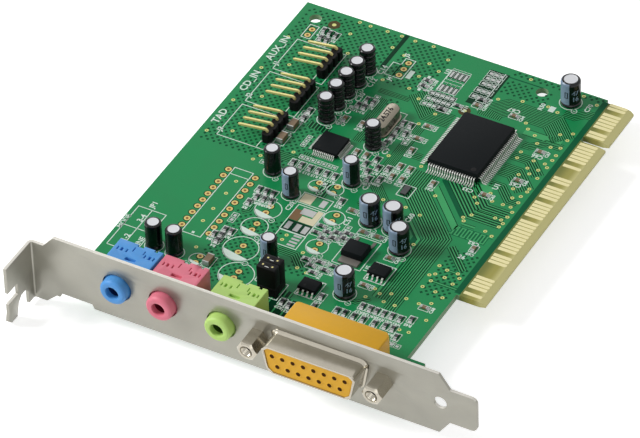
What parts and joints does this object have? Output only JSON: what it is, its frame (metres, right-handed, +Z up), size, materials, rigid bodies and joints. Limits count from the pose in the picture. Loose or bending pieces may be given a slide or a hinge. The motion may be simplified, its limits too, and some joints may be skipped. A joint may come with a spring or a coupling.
{
  "type": "sound card",
  "caption": "Plug-in computer sound card: green circuit board with gold edge contacts, folded steel slot bracket, coloured audio jacks, game port, chips, capacitors and pin headers.",
  "frame": {"origin": "middle of the part's box in X and Y, at its lowest point in Z (the tip of the bracket's finger)", "axes": "+X along the bracket towards its tongue, +Y from the bracket to the rear edge of the board, +Z up from the component side of the board"},
  "size_m": [0.1216, 0.132, 0.0222],
  "materials": {
    "solder_mask": "glossy green solder mask over glass-fibre board",
    "gold_plate": "bright gold plating",
    "plated_steel": "satin nickel-plated steel sheet",
    "nickel_plate": "bright nickel plating",
    "orange_plastic": "moulded plastic",
    "blue_plastic": "moulded plastic",
    "pink_plastic": "moulded plastic",
    "green_plastic": "moulded plastic",
    "tinned_metal": "bright tin plating",
    "crystal_metal": "satin metal can",
    "black_plastic": "moulded plastic",
    "chip_epoxy": "fine matt moulding compound",
    "capacitor_sleeve": "shrunk plastic sleeve",
    "resistor_body": "glazed top",
    "ceramic_body": "fired ceramic"
  },
  "bodies": {
    "root": {"amplifier_chip_body": "chip_epoxy", "amplifier_chip_leads": "tinned_metal", "aux_header_base": "black_plastic", "aux_header_pins": "tinned_metal", "blue_jack_housing": "blue_plastic", "blue_jack_terminals": "tinned_metal", "cd_header_base": "black_plastic", "cd_header_pins": "tinned_metal", "ceramic_capacitors": "ceramic_body", "chip_capacitors": "ceramic_body", "chip_resistors": "resistor_body", "circuit_board": "solder_mask", "codec_chip_body": "chip_epoxy", "codec_chip_leads": "tinned_metal", "controller_chip_body": "chip_epoxy", "controller_chip_leads": "tinned_metal", "crystal_can": "crystal_metal", "edge_contacts": "gold_plate", "front_jumper_cap": "black_plastic", "game_port_contacts": "tinned_metal", "game_port_insulator": "orange_plastic", "game_port_jackscrews": "nickel_plate", "game_port_shell": "nickel_plate", "game_port_shroud": "orange_plastic", "green_jack_housing": "green_plastic", "green_jack_terminals": "tinned_metal", "jumper_base": "black_plastic", "jumper_pins": "gold_plate", "memory_chip_body": "chip_epoxy", "memory_chip_leads": "tinned_metal", "mounting_bracket": "plated_steel", "phone_header_base": "black_plastic", "phone_header_pins": "tinned_metal", "pink_jack_housing": "pink_plastic", "pink_jack_terminals": "tinned_metal", "rear_jumper_cap": "black_plastic", "regulator_body": "chip_epoxy", "regulator_lead_frame": "tinned_metal", "resistor_network": "resistor_body", "slim_capacitors": "capacitor_sleeve", "wide_capacitors": "capacitor_sleeve"}
  },
  "joints": []
}
